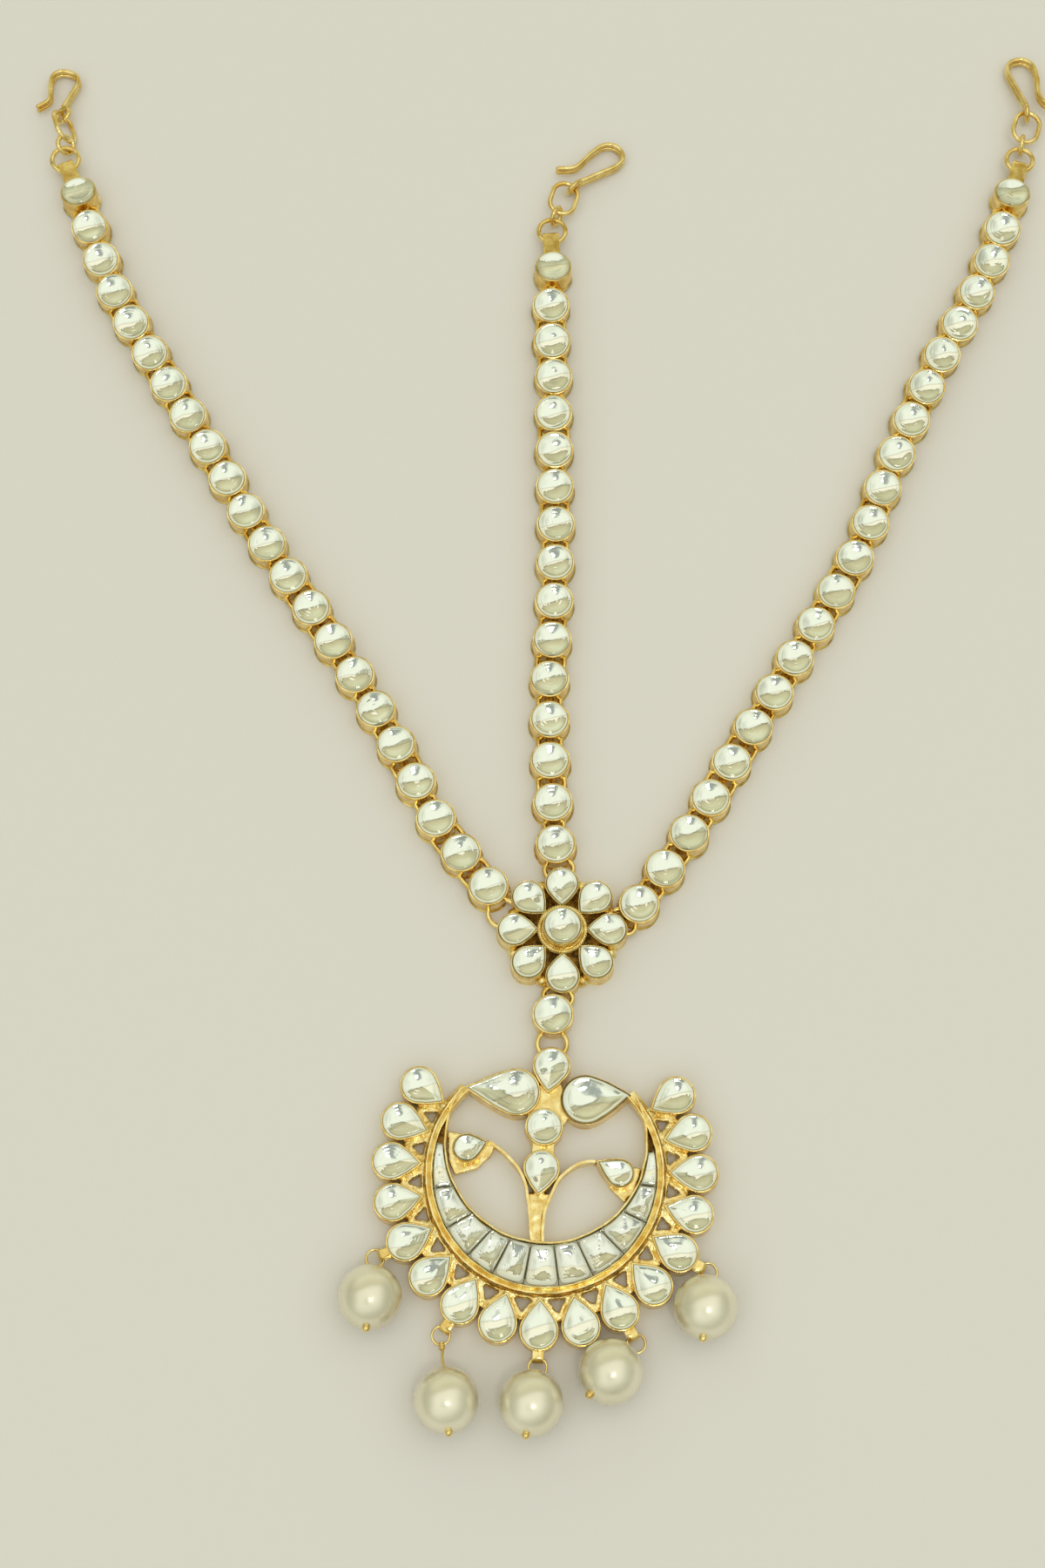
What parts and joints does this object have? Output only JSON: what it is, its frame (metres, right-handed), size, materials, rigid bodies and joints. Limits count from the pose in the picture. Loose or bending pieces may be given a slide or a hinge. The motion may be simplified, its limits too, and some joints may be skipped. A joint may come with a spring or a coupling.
{
  "type": "matha patti",
  "caption": "Hair jewel worn over the parting and both sides of the hair: strands of foil-backed stone cups with hooks, a flower where they meet, and a crescent pendant with pearl drops.",
  "frame": {"origin": "middle of the flower's flat back", "axes": "+Y from the pendant towards the hooks, +Z from the back to the stones, +X to the right as worn facing the viewer"},
  "size_m": [0.233, 0.3073, 0.012],
  "materials": {
    "gold": "polished warm yellow gold plating",
    "cast_gold": "cast gold plating, matte between the cups",
    "strand": "gloss foil-backed stones in polished gold-plated cups and rings",
    "stone": "gloss, silver foil behind pale glass",
    "pearl": "champagne pearl coating, satin gloss, on gold wire"
  },
  "bodies": {
    "root": {"strand_left": "strand", "chain_left": "gold", "hook_left": "gold", "ring_left": "gold", "strand_middle": "strand", "chain_middle": "gold", "hook_middle": "gold", "ring_middle": "gold", "strand_right": "strand", "chain_right": "gold", "hook_right": "gold", "ring_right": "gold", "ring_flower_link": "gold", "ring_link_pendant": "gold", "flower_base": "gold", "petal_1_stone": "stone", "petal_2_stone": "stone", "petal_3_stone": "stone", "petal_4_stone": "stone", "petal_5_stone": "stone", "petal_6_stone": "stone", "petal_7_stone": "stone", "petal_8_stone": "stone", "flower_centre_stone": "stone", "link_cup": "gold", "link_stone": "stone", "pendant_frame": "cast_gold", "crescent_stones": "stone", "outer_1_stone": "stone", "outer_2_stone": "stone", "outer_3_stone": "stone", "outer_4_stone": "stone", "outer_5_stone": "stone", "outer_6_stone": "stone", "outer_7_stone": "stone", "outer_8_stone": "stone", "outer_9_stone": "stone", "outer_10_stone": "stone", "outer_11_stone": "stone", "outer_12_stone": "stone", "outer_13_stone": "stone", "outer_14_stone": "stone", "outer_15_stone": "stone", "outer_16_stone": "stone", "outer_17_stone": "stone", "motif_top_stone": "stone", "motif_left_stone": "stone", "motif_right_stone": "stone", "motif_round_stone": "stone", "motif_lower_stone": "stone", "motif_small_left_stone": "stone", "motif_small_right_stone": "stone", "pearl_drop_1": "pearl", "pearl_drop_2": "pearl", "pearl_drop_3": "pearl", "pearl_drop_4": "pearl", "pearl_drop_5": "pearl"}
  },
  "joints": []
}
